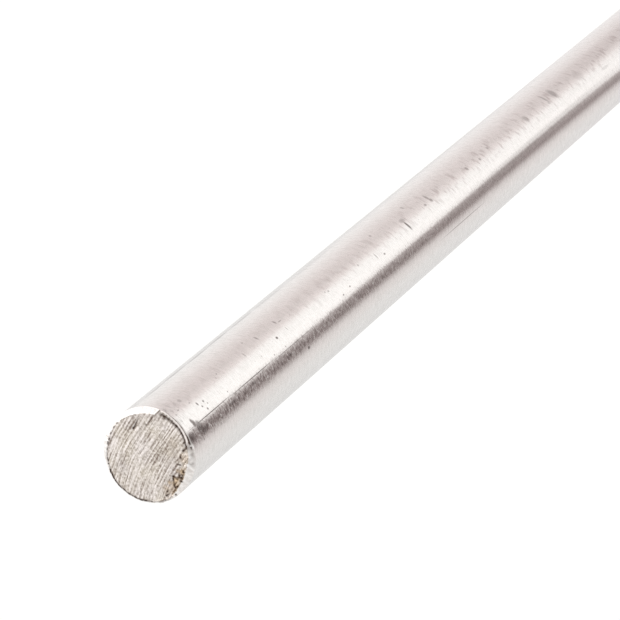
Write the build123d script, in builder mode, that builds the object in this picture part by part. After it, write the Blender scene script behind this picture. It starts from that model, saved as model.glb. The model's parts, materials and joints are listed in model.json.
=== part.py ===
"""Round metal bar: one solid length of bright ground stock.

It stands on its square end, which has an even chamfer, with its axis along Z. The upper end is
the sawn one: the cut is a little out of square, and its edge was taken off by hand with four
strokes of a file. The origin is the centre of the foot, on the ground.

Units are millimetres. Directions round the bar are in degrees, from +X towards +Y.
"""

import os
from math import cos, radians, sin, tan

from build123d import *

# The stock
diameter = 12.0
length = 300.0

# The square end, at the foot
foot_chamfer = 0.5

# The saw cut, at the top
cut_lean = 4.9  # degrees out of square
cut_lean_towards = -7.0  # the side of the bar that the cut leaves shortest

# The four file strokes on the edge of the cut. Each leaves a bevel that is widest in one
# direction and dies out at half_arc on both sides of it. Its angle is the one between the bevel
# and the cut face: the file lay nearly flat on the face in the first two strokes.
first_stroke_width = 0.85
first_stroke_towards = -40.0
first_stroke_half_arc = 75.0
first_stroke_angle = 10.0
first_stroke_lands_at = -53.0  # the file came down on the edge here, and left a step

second_stroke_width = 0.57
second_stroke_towards = 30.0
second_stroke_half_arc = 85.0
second_stroke_angle = 12.0

third_stroke_width = 0.30
third_stroke_towards = 115.0
third_stroke_half_arc = 120.0
third_stroke_angle = 45.0

fourth_stroke_width = 0.95
fourth_stroke_towards = 213.0
fourth_stroke_half_arc = 52.0
fourth_stroke_angle = 35.0
fourth_stroke_lifts_at = 244.0  # the file left the edge here, and the bevel stops short in a step

radius = diameter / 2


def round_the_bar(degrees):
    """The direction away from the bar's axis at an angle round the bar."""
    return Vector(cos(radians(degrees)), sin(radians(degrees)), 0)


def stroke_offset(width, half_arc):
    """How far the centre of a bevel lies from the bar's axis for it to die out at half_arc.

    The bevel meets the cut face in a circle. That circle passes inside the edge by width on the
    widest side, and crosses the edge at half_arc on both sides of it.
    """
    sagitta = radius * (1 - cos(radians(half_arc)))
    return width * (diameter - width) / (2 * (sagitta - width))


# The saw's plane, placed so that the highest point of the cut is at the bar's full length
cut_centre = Vector(0, 0, length - radius * tan(radians(cut_lean)))
cut_outward = Vector(0, 0, 1) + round_the_bar(cut_lean_towards) * tan(radians(cut_lean))
saw_plane = Plane(origin=cut_centre, x_dir=(0, 1, 0), z_dir=cut_outward)
outward = saw_plane.z_dir


def across_the_cut(degrees):
    """The direction in the saw's plane at an angle round the bar."""
    direction = round_the_bar(degrees)
    return (direction - outward * direction.dot(outward)).normalized()


# Each stroke: its width, widest direction, half arc and angle, and the arc that the file covers.
# A quarter turn from the widest place is further than the file needs to go.
strokes = (
    (
        first_stroke_width,
        first_stroke_towards,
        first_stroke_half_arc,
        first_stroke_angle,
        first_stroke_lands_at,
        first_stroke_towards + 90,
    ),
    (
        second_stroke_width,
        second_stroke_towards,
        second_stroke_half_arc,
        second_stroke_angle,
        second_stroke_towards - 90,
        second_stroke_towards + 90,
    ),
    (
        third_stroke_width,
        third_stroke_towards,
        third_stroke_half_arc,
        third_stroke_angle,
        third_stroke_towards - 90,
        third_stroke_towards + 90,
    ),
    (
        fourth_stroke_width,
        fourth_stroke_towards,
        fourth_stroke_half_arc,
        fourth_stroke_angle,
        fourth_stroke_towards - 90,
        fourth_stroke_lifts_at,
    ),
)

with BuildPart() as round_bar:
    # The stock, and the chamfer at its foot
    with BuildSketch():
        Circle(radius)
    extrude(amount=length)
    chamfer(round_bar.faces().sort_by(Axis.Z)[0].edges(), foot_chamfer)

    # The saw cut
    split(bisect_by=saw_plane, keep=Keep.BOTTOM)

    # The file strokes: each is part of a cone round an axis beside the bar's own
    for width, towards, half_arc, angle, first, last in strokes:
        offset = stroke_offset(width, half_arc)
        cone_centre = cut_centre - across_the_cut(towards) * offset
        cone_radius = radius - width + offset  # where the cone meets the cut face
        reach = 2 * width  # to both sides of that circle, to clear the bar's side
        drop = reach * tan(radians(angle))
        across = across_the_cut(first)
        with BuildSketch(Plane(origin=cone_centre, x_dir=across, z_dir=across.cross(outward))):
            with BuildLine():
                Polyline(
                    (cone_radius - reach, drop),
                    (cone_radius + reach, -drop),
                    (cone_radius + reach, drop),
                    close=True,
                )
            make_face()
        revolve(axis=Axis(cone_centre, outward), revolution_arc=last - first, mode=Mode.SUBTRACT)

round_bar.part.label = "round_bar"

os.makedirs("parts", exist_ok=True)
export_step(round_bar.part, "parts/round_bar.step")
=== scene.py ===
# %% [markdown]
# # A round metal bar, with the look of ground steel
#
# The bar is one length of bright round stock. It stands on its square end, and the end at the top
# was sawn and then dressed with a file. This script starts from the solid model, which gives the
# size and the place of everything, and builds the fine surface that a solid model leaves out.
#
# The first cell loads the solid model. Everything after it is in metres, in the same frame.

import json
import math
from collections import namedtuple

import bmesh
import bpy
import numpy as np
from mathutils import Matrix, Vector


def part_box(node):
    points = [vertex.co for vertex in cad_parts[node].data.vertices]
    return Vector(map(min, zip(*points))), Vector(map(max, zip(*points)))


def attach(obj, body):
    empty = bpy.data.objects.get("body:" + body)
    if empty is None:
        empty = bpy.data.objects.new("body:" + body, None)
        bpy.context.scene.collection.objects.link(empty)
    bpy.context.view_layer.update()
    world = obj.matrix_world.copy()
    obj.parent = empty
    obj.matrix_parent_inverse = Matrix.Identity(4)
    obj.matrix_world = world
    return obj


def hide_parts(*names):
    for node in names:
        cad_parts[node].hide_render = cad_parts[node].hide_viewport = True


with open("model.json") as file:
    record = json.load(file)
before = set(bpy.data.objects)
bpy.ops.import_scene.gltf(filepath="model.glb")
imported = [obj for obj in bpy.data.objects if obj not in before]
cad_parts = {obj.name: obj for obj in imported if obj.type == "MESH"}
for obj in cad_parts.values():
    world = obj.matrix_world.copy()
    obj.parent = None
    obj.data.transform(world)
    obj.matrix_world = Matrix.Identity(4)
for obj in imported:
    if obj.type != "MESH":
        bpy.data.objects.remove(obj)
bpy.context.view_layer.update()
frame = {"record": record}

# %% [markdown]
# ## Sizes
#
# A mount in the record says where a stranger would hold the bar. Two of them describe its shape:
# the round outside gives the radius, and the sawn end gives the plane of the cut. So the sizes are
# read from there, and not typed in again.
#
# The four file strokes have no mount. Their sizes are the model's own: how wide the bevel is, which
# way round the bar it is widest, how far it runs to each side, how steep it is, and where the file
# came down on the edge and left it. Directions are in degrees, from +X towards +Y.

# %% Sizes
MM = 0.001
mounts = {mount["name"]: mount for mount in frame["record"]["mounts"]}
RADIUS = mounts["outside"]["dims"]["r_mm"] * MM
CUT_CENTRE = Vector(mounts["sawn_end"]["pos_m"])
CUT_NORMAL = Vector(mounts["sawn_end"]["axis"]).normalized()
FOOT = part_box("round_bar")[0][2]
FOOT_CHAMFER = 0.5 * MM

Stroke = namedtuple("Stroke", "width towards half_arc slope first last")  # mm, then degrees
STROKES = {
    "first": Stroke(0.85, -40.0, 75.0, 10.0, -53.0, 50.0),
    "second": Stroke(0.57, 30.0, 85.0, 12.0, -60.0, 120.0),
    "third": Stroke(0.30, 115.0, 120.0, 45.0, 25.0, 205.0),
    "fourth": Stroke(0.95, 213.0, 52.0, 35.0, 123.0, 244.0),
}
print(f"bar {2 * RADIUS / MM:.1f} mm thick, cut at {CUT_CENTRE.z / MM:.2f} mm on its axis")

# %% [markdown]
# ## Irregular surfaces without a picture
#
# Hand work is uneven, and a computer needs numbers for that. The first helper makes smooth random
# hills: random heights on a square grid, with a soft blend between them. The seed makes it give
# the same hills on each run. Stretching one axis turns round hills into long streaks.
#
# The other helpers are two soft shapes: a bell, for anything that fades on both sides of a line,
# and a rise, for anything that starts softly and then stays.

# %% Smooth random heights, and two soft shapes
GRID = 64  # hills along one side of the grid, which then repeats


def hills(x, y, seed):
    """Smooth random heights from -1 to 1. One hill is about one unit wide."""
    heights = np.random.default_rng(seed).uniform(-1, 1, (GRID, GRID))
    column, row = np.floor(x).astype(int), np.floor(y).astype(int)
    across, up = x - column, y - row
    across, up = across**2 * (3 - 2 * across), up**2 * (3 - 2 * up)

    def at(i, j):
        return heights[(column + i) % GRID, (row + j) % GRID]

    near = at(0, 0) * (1 - across) + at(1, 0) * across
    far = at(0, 1) * (1 - across) + at(1, 1) * across
    return near * (1 - up) + far * up


def round_hills(x, y, size, seed):
    """Hills on the face that are so many mm wide, at places given in metres."""
    return hills(x / (size * MM), y / (size * MM), seed)


def hills_round_rim(angle, size, seed):
    """Hills along the rim that are so many degrees long, for directions in radians."""
    return hills(np.degrees(angle) / size, angle * 0, seed)


def bell(away, half_width):
    """One where away is 0, and soft towards nothing on both sides."""
    return np.exp(-((away / half_width) ** 2))


def rise(value, start, run):
    """From 0 at start to 1 a run further on."""
    return np.clip((value - start) / run, 0, 1)


three = np.array([0.5, 1.5, 2.5])
print("at 0.5, 1.5 and 2.5: hills", hills(three, three * 0, 1).round(2), end=" ")
print("bell", bell(three, 1).round(2), "rise", rise(three, 1, 1))

# %% [markdown]
# ## Where the bevels are
#
# A file stroke over the edge of a round bar leaves a crescent. It is widest in the middle of the
# stroke and runs out on both sides. Its inner edge is part of a circle whose centre is a little
# off the bar's axis. The function gives that inner edge as a distance from the axis.
#
# Two of the strokes are cut short by a step: the first one starts where the file came down on the
# edge, and the fourth one stops where the file was lifted.

# %% Inner edge of a bevel
def bevel_edge(angle, stroke):
    """Distance in metres from the axis to a bevel's inner edge, for directions in radians."""
    width = stroke.width * MM
    sagitta = RADIUS * (1 - math.cos(math.radians(stroke.half_arc)))
    offset = width * (2 * RADIUS - width) / (2 * (sagitta - width))
    circle = RADIUS - width + offset
    turn = angle - math.radians(stroke.towards)
    return np.sqrt(circle**2 - (offset * np.sin(turn)) ** 2) - offset * np.cos(turn)


def arc_position(angle, start):
    """Degrees from start to each direction, counted the same way round, from 0 to 360."""
    return (np.degrees(angle) - start) % 360


for name, stroke in STROKES.items():
    widest = RADIUS - bevel_edge(math.radians(stroke.towards), stroke)
    print(f"{name} stroke: {widest / MM:.2f} mm wide at {stroke.towards:.0f} degrees")

# %% [markdown]
# ## The shape of the sawn end
#
# Seen from above, the top is one landscape: each place inside the bar's outline has one height. So
# it can be made from a height for each place, in layers, as the real one was:
#
# 1. the saw's plane, a little out of square;
# 2. the streaks that the saw blade left, about half a millimetre apart, in slow curves;
# 3. a pit with a tail, and a few short gouges;
# 4. the bevels of the four file strokes, with small chips torn out beside the last one;
# 5. the groove and the lip where no file went, and a ragged rim where the saw came out.
#
# Real streaks are only hundredths of a millimetre deep, but they are cut into the surface here and
# not painted on, because they catch the light and they break the outline of the face.
#
# Whatever has a place of its own on the face is a short line, and the first helper says how near
# each point is to it. A line's ends are given by a direction in degrees and mm from the bar's axis.

# %% A short line on the face
def mark(x, y, start, end, width):
    """Nearness, from 0 to 1, to a line of a half width in mm. It fades by half towards its end."""
    ends = [
        np.array([math.cos(math.radians(turn)), math.sin(math.radians(turn))]) * distance
        for turn, distance in (start, end)
    ]
    run = ends[1] - ends[0]
    point = np.stack([x / MM, y / MM], axis=-1) - ends[0]
    share = np.clip((point @ run) / (run @ run), 0, 1)
    away = np.linalg.norm(point - share[..., None] * run, axis=-1)
    return bell(away, width) * (1 - 0.5 * share)


nearness = mark(three * MM, three * 0, (0, 0.0), (180, 1.0), 1.0)
print("nearness to a mark 0.5, 1.5 and 2.5 mm away:", nearness.round(2))

# %% [markdown]
# The blade's streaks are arcs, tighter where the teeth came in, and on one side the blade shook.
# The saw's own coordinates run along the arcs and across them, so that a plain row of waves becomes
# the streaks. The waves wander, break off and start again, and a few wide marks make patches of
# them brighter or duller.

# %% Streaks of the saw
STREAK_DIRECTION = math.radians(-73.7)  # which way the saw's teeth travelled over the face
# half of one over the arcs' radius, per mm: 100 mm where the teeth left, 19 mm where they came in
GENTLE_BEND, TIGHT_BEND = 0.005, 0.026
STREAK_PITCH = 0.46  # mm
SHAKY_SIDE = math.radians(137)  # the blade shook on this side of the face

# strength, mm along and across, and seed of the fine, the wide and the broken streaks
LAYERS = ((0.45, 1.8, 0.16, 11), (0.12, 4, 0.9, 13), (0.36, 0.22, 0.20, 15))
# start, end, half width in mm, and how much stronger the streaks are there, or brighter
DEEPER = ((-60, 0.6), (-120, 1.8), 1.6, 0.20)
SHALLOWER = ((15, 3.2), (20, 4.2), 1.4, -0.25)
PATCHES = (
    ((20, 1.0), (20, 2.4), 1.4, 0.25),
    ((-150, 1.2), (-130, 2.6), 1.2, -0.18),
    ((-103, 3.6), (-135, 3.3), 1.1, -0.17),
    ((160, 3.6), (-172, 4.0), 1.0, 0.26),
    ((35, 3.8), (62, 3.9), 0.9, 0.15),
)


def saw_coordinates(x, y):
    """Millimetres along the saw's streaks and across them, from metres on the face."""
    along = (x * math.cos(STREAK_DIRECTION) + y * math.sin(STREAK_DIRECTION)) / MM
    across = (y * math.cos(STREAK_DIRECTION) - x * math.sin(STREAK_DIRECTION)) / MM
    shaky = np.clip(0.2 + (x * math.cos(SHAKY_SIDE) + y * math.sin(SHAKY_SIDE)) / RADIUS, 0, 1)
    shake = 0.16 * shaky * hills(along / 0.7, across / 0.9, 14)
    bend = GENTLE_BEND * along**2 + (TIGHT_BEND - GENTLE_BEND) * np.minimum(along, 0) ** 2
    return along, across + bend + shake


def streaks(x, y):
    """From -1 in a dark, deep streak to 1 on a bright, high one."""
    along, across = saw_coordinates(x, y)
    strength = np.clip(0.56 + 0.75 * hills(along / 1.8, across / 0.75, 18), 0, 1.2)
    strength += DEEPER[3] * mark(x, y, *DEEPER[:3])
    strength *= 1 + SHALLOWER[3] * mark(x, y, *SHALLOWER[:3])
    wander = 3.6 * hills(along / 3.5, across / 0.9, 17)
    mix = 0.58 * strength * np.sin(2 * math.pi * across / STREAK_PITCH + wander)
    for amount, length, width, seed in LAYERS:
        mix += amount * hills(along / length, across / width, seed)
    for *line, brighter in PATCHES:
        mix += brighter * mark(x, y, *line)
    return np.clip(mix, -1, 1)


test = np.linspace(-0.7, 0.7, 201) * RADIUS
print(f"the middle of the face is {np.mean(streaks(test, test * 0) > 0):.0%} ridges")

# %% [markdown]
# The face is the saw's plane with that relief on it. Now and then a loose chip under the blade
# leaves a deeper line: here one pit with a tail, and three scratches. They are marks taken off
# the height. Cutting them out of the finished mesh could do it too, but would leave ragged cells.

# %% The sawn face
GOUGES = (  # start, end, half width and depth in mm: the pit, its tail, and three scratches
    ((-10, 3.75), (-14, 3.85), 0.17, 0.12),
    ((-13, 3.85), (-25, 4.60), 0.11, 0.09),
    ((-43, 4.15), (-51, 5.05), 0.08, 0.05),
    ((-38, 3.60), (-43, 4.20), 0.07, 0.03),
    ((-37, 3.75), (-36, 3.90), 0.10, 0.04),
)
STREAK_DEPTH, UNEVEN_FACE = 0.008, 0.01  # mm


def cut_height(x, y):
    """Height in metres of the sawn face, with its relief, at places given in metres."""
    plane = CUT_CENTRE.z - (CUT_NORMAL.x * x + CUT_NORMAL.y * y) / CUT_NORMAL.z
    relief = STREAK_DEPTH * streaks(x, y) + UNEVEN_FACE * round_hills(x, y, 2, 16)
    for *line, depth in GOUGES:
        relief -= depth * mark(x, y, *line)
    return plane + relief * MM


fall = cut_height(test, test * 0)
print(f"across the middle the face climbs and falls by {np.ptp(fall) / MM:.2f} mm")

# %% [markdown]
# The file took the surface down from each bevel's inner edge outwards. That edge is uneven by a
# few hundredths of a millimetre, as hand work is. Where strokes meet, the deeper one wins. On one
# stretch no file went at all, and there the rim is only rubbed.

# %% Bevels
STEP_SLANT = 6.0  # degrees round the bar between the outer and the inner end of a step
UNEVEN = {"first": 0.02, "second": 0.04, "third": 0.04, "fourth": 0.08}  # mm, of the inner edge
# the stretch that no file touched, in degrees, and the line on it that is rubbed: degrees and mm
UNTOUCHED = (-118, -56)
RUBBED = ((-116, -105, -90, -75, -62), (5.70, 5.82, 5.88, 5.96, 6.02))


def along_rim(angle, first, last, fade):
    """One on the stretch of the rim between two directions in degrees, and soft at both ends."""
    position, length = arc_position(angle, first), (last - first) % 360
    return rise(position, 0, fade) * rise(length - position, 0, fade)


def table(angle, line):
    """A value for each direction, read from a table of directions in degrees and values."""
    return np.interp(np.degrees(angle), *line)


def wandering_edge(angle, name):
    """A bevel's inner edge as the file really left it."""
    uneven = hills_round_rim(angle, 4, 21) + 0.6 * hills_round_rim(angle, 1.7, 22)
    return bevel_edge(angle, STROKES[name]) + UNEVEN[name] * uneven * MM


def crease(angle):
    """Distance in metres from the axis to the line where the sawn face ends."""
    line = RADIUS + 0 * angle
    for name, stroke in STROKES.items():
        inside = arc_position(angle, stroke.first) < stroke.last - stroke.first
        line = np.where(inside, np.minimum(line, wandering_edge(angle, name)), line)
    return line


def bevel_drop(x, y):
    """How far the file took the surface down at each place, in metres."""
    angle, distance = np.arctan2(y, x), np.hypot(x, y)
    rubbed = along_rim(angle, *UNTOUCHED, 1) > 0
    drop = np.where(rubbed, np.clip(distance - table(angle, RUBBED) * MM, 0, None), 0)
    for name, stroke in STROKES.items():
        past = np.clip(distance - wandering_edge(angle, name), 0, None)
        outward = np.clip(past / (stroke.width * MM), 0, 1)
        position = arc_position(angle, stroke.first - STEP_SLANT / 2) - STEP_SLANT * (1 - outward)
        inside = (position > 0) & (position < stroke.last - stroke.first + STEP_SLANT / 2)
        drop = np.maximum(drop, np.where(inside, past * math.tan(math.radians(stroke.slope)), 0))
    return drop


turns = np.radians(np.arange(0, 360, 0.5))
deepest = bevel_drop(RADIUS * np.cos(turns), RADIUS * np.sin(turns)).max()
print(f"the file went {deepest / MM:.2f} mm deep at most")

# %% [markdown]
# In the fourth stroke the file caught, and tore small chips out of the edge. Most are random lumps
# and holes in a narrow band beside it. The largest have places of their own.

# %% Chips
CHIPPED = (-172, -116)  # degrees
CHIP_SIZE, CHIP_BAND, CHIP_HEIGHT = 0.24, 0.38, 0.06  # mm
CHIPS = (  # start, end and half width in mm, of the largest chips that stand up
    ((-125, 4.60), (-126, 4.66), 0.13),
    ((-129, 5.30), (-131, 5.36), 0.20),
    ((-136, 4.68), (-135, 4.80), 0.13),
    ((-138, 4.95), (-142, 5.48), 0.10),
    ((-151, 5.55), (-152, 5.65), 0.16),
    ((-169, 4.65), (-168, 4.75), 0.13),
    ((-149, 4.42), (-150, 4.50), 0.12),
    ((-115, 5.74), (-114, 5.78), 0.10),
    ((-171, 5.58), (-172, 5.66), 0.14),
    ((174, 5.60), (171, 5.66), 0.14),
)


def chips(x, y):
    """Lumps and holes along the torn edge, from -1 to 1, and nothing elsewhere."""
    angle, distance = np.arctan2(y, x), np.hypot(x, y)
    near_edge = bell(distance - crease(angle) + 0.15 * MM, CHIP_BAND * MM)
    lumps = round_hills(x, y, CHIP_SIZE, 46) + 0.4 * round_hills(x, y, CHIP_SIZE / 2, 47)
    torn = np.clip(1.1 * lumps, -1, 1) * near_edge * along_rim(angle, *CHIPPED, 8)
    for chip in CHIPS:
        torn = np.maximum(torn, mark(x, y, *chip))
    return torn


TEST_RING = 4.8  # mm from the axis: the prints below measure along this ring
ring_x, ring_y = TEST_RING * MM * np.cos(turns), TEST_RING * MM * np.sin(turns)
chipped = np.mean(np.abs(chips(ring_x, ring_y)) > 0.2)
print(f"chips take up {chipped:.0%} of the ring at {TEST_RING} mm")

# %% [markdown]
# Where no file went, the saw left a groove beside the rim and a thin lip outside it. On the far
# side, where the blade came out, a little metal stands up at the rim like torn paper.

# %% Groove, lip and ragged rim
# tables of directions in degrees and mm: the first two are distances from the axis
GROOVE = ((-112, -105, -98, -90, -72, -64), (5.19, 5.32, 5.40, 5.44, 5.46, 5.48))
LIP_TOP = ((-112, -105, -98, -75, -64), (5.42, 5.59, 5.67, 5.87, 5.97))
LIP_HALF_WIDTH = ((-100, -94, -80, -72), (0.11, 0.145, 0.145, 0.11))
RAGGED = (143, 183)  # degrees
GROOVE_DEPTH, GROOVE_HALF_WIDTH, LIP_HEIGHT, RAGGED_HEIGHT = 0.09, 0.12, 0.02, 0.28  # mm


def lip(x, y):
    """One on the top of the raised lip beside the groove, and nothing away from it."""
    angle, distance = np.arctan2(y, x), np.hypot(x, y)
    ridge = bell(distance - table(angle, LIP_TOP) * MM, table(angle, LIP_HALF_WIDTH) * MM)
    return along_rim(angle, *UNTOUCHED, 4) * ridge


def burr(x, y):
    """Height in metres of the groove, the lip and the ragged rim."""
    angle, distance = np.arctan2(y, x), np.hypot(x, y)
    valley = bell(distance - table(angle, GROOVE) * MM, GROOVE_HALF_WIDTH * MM)
    groove = (1 + 0.5 * hills_round_rim(angle, 5, 31)) * valley * along_rim(angle, *UNTOUCHED, 4)
    ragged = along_rim(angle, *RAGGED, 10) * rise(distance / MM, 5.55, 0.35)
    ragged = ragged * (0.8 + 0.6 * hills_round_rim(angle, 2.5, 32))
    return (LIP_HEIGHT * lip(x, y) - GROOVE_DEPTH * groove + RAGGED_HEIGHT * ragged) * MM


def top_height(x, y):
    """Height of the whole top, with everything that the saw and the file did."""
    return cut_height(x, y) + burr(x, y) - bevel_drop(x, y) + CHIP_HEIGHT * MM * chips(x, y)


groove_bottom = np.array([0.0]), np.array([-5.44 * MM])
print(f"the groove is {-burr(*groove_bottom)[0] / MM:.2f} mm deep towards -90 degrees")

# %% [markdown]
# ## Dirt and painted shade on the sawn end
#
# The low places are painted dark, as shade: the groove, the gouges and the corners where the face
# meets a bevel, and the sharp rim is darker too. On one side oil has dried to a brown stain. Each
# point of the top gets three numbers, and the materials mix their colours by them: how dark it is,
# how brown, and the painted light and shade of its streak of the saw.
#
# The distances in these cells are in mm from the bar's axis.

# %% The brown stain
STAIN_FROM = 3.9  # mm: nearer the axis than this the face is clean


def stain(x, y):
    """From 0, clean, to 1, brown with dried oil."""
    angle, distance = np.arctan2(y, x), np.hypot(x, y) / MM
    ragged = round_hills(x, y, 0.45, 45)
    inside = rise(crease(angle) / MM - distance, -0.1, 0.1)
    outside = rise(distance + 0.4 * ragged, STAIN_FROM, 0.6)
    strong, weak = along_rim(angle, 160, 226, 16), 0.5 * along_rim(angle, 214, 244, 12)
    crept_in = 0.25 * mark(x, y, (-103, 3.6), (-140, 3.4), 1.0)  # a thin film, nearer the axis
    brown = np.maximum(outside * inside * np.maximum(strong, weak), crept_in)
    return brown * np.clip(0.75 + 0.5 * ragged, 0, 1)


print(f"the ring at {TEST_RING} mm is {stain(ring_x, ring_y).mean():.0%} brown")

# %% [markdown]
# The groove is painted dark as shade, here deep and there light, and the rubbed line beyond it is
# painted darker too. No formula says how dark each place is, so tables of directions and values
# do, with random hills on top to keep them uneven.

# %% Painted shade by the groove
# tables of directions in degrees and values: the half width in mm of the painted shade in the
# groove, how dark it is there, on the rubbed line and beyond it, and on the torn end of the fourth
# bevel
GROOVE_SHADE_WIDTH = ((-98, -90, -80, -68), (0.13, 0.16, 0.19, 0.25))
GROOVE_SHADE = (
    (-116, -110, -104, -98, -92, -84, -76, -66),
    (1.0, 0.84, 0.95, 1.0, 1.05, 0.98, 0.84, 0.88),
)
RUBBED_LINE = (
    (-121, -117, -110, -104, -98, -92, -86, -78, -70, -64),
    (0, 0.9, 1.1, 0.95, 0.75, 0.85, 0.6, 0.7, 0.5, 0),
)
RUBBED_BEYOND = ((-120, -116, -112, -108, -104, -98), (0, 0.15, 0.50, 0.55, 0.45, 0.05))
TORN_END = ((-142, -132, -124, -118, -112, -106), (0, 0.10, 0.22, 0.48, 0.38, 0))


def shade_by_groove(angle, distance):
    """How dark the groove is painted, as shade, and the rubbed line and the metal beyond it."""
    patchy = np.clip(0.9 + 0.5 * hills(np.degrees(angle) / 2.5, distance * 2, 41), 0, 1)
    shaded_groove = table(angle, GROOVE_SHADE) * (1 + 0.22 * hills_round_rim(angle, 2.2, 50))
    in_groove = bell(distance - table(angle, GROOVE), table(angle, GROOVE_SHADE_WIDTH))
    past_line = distance - table(angle, RUBBED)
    dark = shaded_groove * along_rim(angle, *UNTOUCHED, 4) * in_groove
    dark += table(angle, RUBBED_LINE) * np.clip(0.5 + 0.6 * patchy, 0, 1) * bell(past_line, 0.07)
    return dark + table(angle, RUBBED_BEYOND) * rise(past_line, 0, 0.05)


# the value printed below is the painted shade in the groove
in_groove = shade_by_groove(np.radians([-90.0]), np.array([5.44]))[0]
print(f"swarf in the groove towards -90 degrees: {in_groove:.2f}")

# %% [markdown]
# A bevel meets the face in a shallow corner, which is painted dark as shade, in a row of spots.
# Where a bevel is narrow, they run together into one line. On the torn side the dark is mottled and
# lies all over, with painted shade over the fourth bevel.

# %% Painted shade on the bevels, and mottled dark on the torn side
# first and last direction, fade, even and spotty part, then the line's middle outside the crease
# and its half width in mm: spots at first, and one line where the bevels are narrow
CORNERS = (
    (-30, 15, 8, 0.0, 0.5, 0.0, 0.09),
    (5, 84, 12, 0.35, 0.75, 0.04, 0.11),
    (66, 148, 18, 0.9, 0.9, 0.03, 0.13),
    (132, 176, 12, 0.3, 0.5, 0.04, 0.11),
)
# painted shade on the fourth bevel, which darkens it as its soft shading would
BEVEL_SHADE = ((-154, -116, 0.24, 5.1), (150, 216, 0.11, 5.3))  # directions, darkness, inner edge in mm


def shade_at_corners(angle, distance):
    """How dark the painted shade is where the face meets the first three bevels."""
    inner = crease(angle) / MM
    spots = np.clip(0.5 + 1.2 * hills_round_rim(angle, 1.5, 42), 0, 1)
    dark = 0.06 * along_rim(angle, 0, 70, 10) * np.clip(1 - np.abs(distance - 5.65) / 0.25, 0, 1)
    for first, last, fade, even, spotty, middle, half_width in CORNERS:
        here = along_rim(angle, first, last, fade) * bell(distance - inner - middle, half_width)
        dark += (even + spotty * spots) * here
    return dark


def dark_on_torn_side(x, y, angle, distance):
    """How dark the fourth bevel and the ragged rim beside it are: mottled at the torn end, and
    painted shade over the bevel.
    """
    mottled = 1 + 0.9 * round_hills(x, y, 0.3, 48)
    torn_here = rise(distance, 5.12, 0.15) * rise(-distance, -5.95, 0.2)
    dark = (0.6 + 0.4 * mottled) * table(angle, TORN_END) * torn_here
    for first, last, darkness, start in BEVEL_SHADE:
        dark += darkness * mottled * along_rim(angle, first, last, 12) * rise(distance, start, 0.2)
    return dark


in_corner = shade_at_corners(turns, crease(turns) / MM)
print(f"it is darkest in the corner towards {math.degrees(turns[in_corner.argmax()]):.0f} degrees")

# %% [markdown]
# Last come the gouges, the step and the holes between the chips, painted dark as shade, and the
# lines in which dried oil has run together. A black place gets no blacker, so most of these are
# joined by the larger of the two values, and are not added up.

# %% How dark each place is
DRIED_LINES = (  # start, end and half width in mm, of the thickest lines of dried oil
    ((-167, 3.95), (-165, 4.43), 0.16),
    ((-160, 4.94), (-165, 4.43), 0.18),
    ((-151, 4.90), (-160, 4.94), 0.16),
    ((-160, 4.57), (-156, 4.42), 0.14),
    ((-170, 4.16), (-174, 4.47), 0.12),
    ((-178, 5.05), (-174, 4.47), 0.13),
    ((-165, 5.18), (-165, 4.69), 0.13),
    ((-174, 5.14), (-178, 5.05), 0.11),
    ((168, 4.91), (171, 4.80), 0.13),
    ((164, 5.31), (170, 5.25), 0.12),
    ((-119, 4.68), (-117, 4.92), 0.14),
    ((-117, 5.13), (-116, 5.28), 0.12),
    ((-129, 4.24), (-132, 4.34), 0.13),
    ((-142, 4.29), (-143, 3.79), 0.10),
    ((176, 5.75), (176, 5.85), 0.12),
    # the last three are lumps of swarf in the groove
    ((-79, 5.43), (-81, 5.46), 0.17),
    ((-85, 5.43), (-87, 5.45), 0.16),
    ((-108.5, 5.13), (-109.5, 5.20), 0.13),
)
# painted shade in the end of the groove, and in the corner of the step where the file came down
GROOVE_END_SHADE = ((-66, 5.30), (-71, 5.35), 0.16)  # swarf where the groove runs out
STEP_CORNER = ((-57, 5.95), (-52, 5.15), 0.08)  # and along the step where the file came down


def dirt_and_shade(x, y):
    """From 0, clean, to 1, black: dirt and dried oil, and painted shade in the hollows and corners.
    """
    angle, distance = np.arctan2(y, x), np.hypot(x, y) / MM
    dark = np.maximum(shade_by_groove(angle, distance), 0.8 * mark(x, y, *GROOVE_END_SHADE))
    # painted shade in the gouges, the darker the deeper they are
    for *line, depth in GOUGES:
        filled = np.clip(1.3 * mark(x, y, *line), 0, 1)
        dark = np.maximum(dark, min(1, 0.25 + 7 * depth) * filled)
    dark += shade_at_corners(angle, distance)
    dark = np.maximum(dark, 0.9 * mark(x, y, *STEP_CORNER))
    torn = chips(x, y)
    # painted shade in the holes between the chips
    dark = np.maximum(dark, np.clip(-1.6 * torn - 0.25, 0, 0.85))  # the holes between the chips
    dark += dark_on_torn_side(x, y, angle, distance)
    # dried oil has run together in lines inside the stain
    wavy = np.abs(round_hills(x, y, 0.6, 43) + 0.25 * round_hills(x, y, 0.2, 44))
    oil = np.clip(1.3 * stain(x, y), 0, 1) * np.clip(1.15 - wavy / 0.2, 0, 1)
    dark = np.maximum(dark, 0.45 * oil)
    for line in DRIED_LINES:
        dark = np.maximum(dark, np.clip(1.2 * mark(x, y, *line), 0, 1))
    return np.clip(dark, 0, 1) * (1 - 0.9 * np.clip(torn, 0, 1))  # a chip's top is bare metal


print(f"the ring at {TEST_RING} mm is {dirt_and_shade(ring_x, ring_y).mean():.0%} black", end=", ")
print(f"and the groove {dirt_and_shade(*groove_bottom)[0]:.0%} towards -90 degrees")

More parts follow.
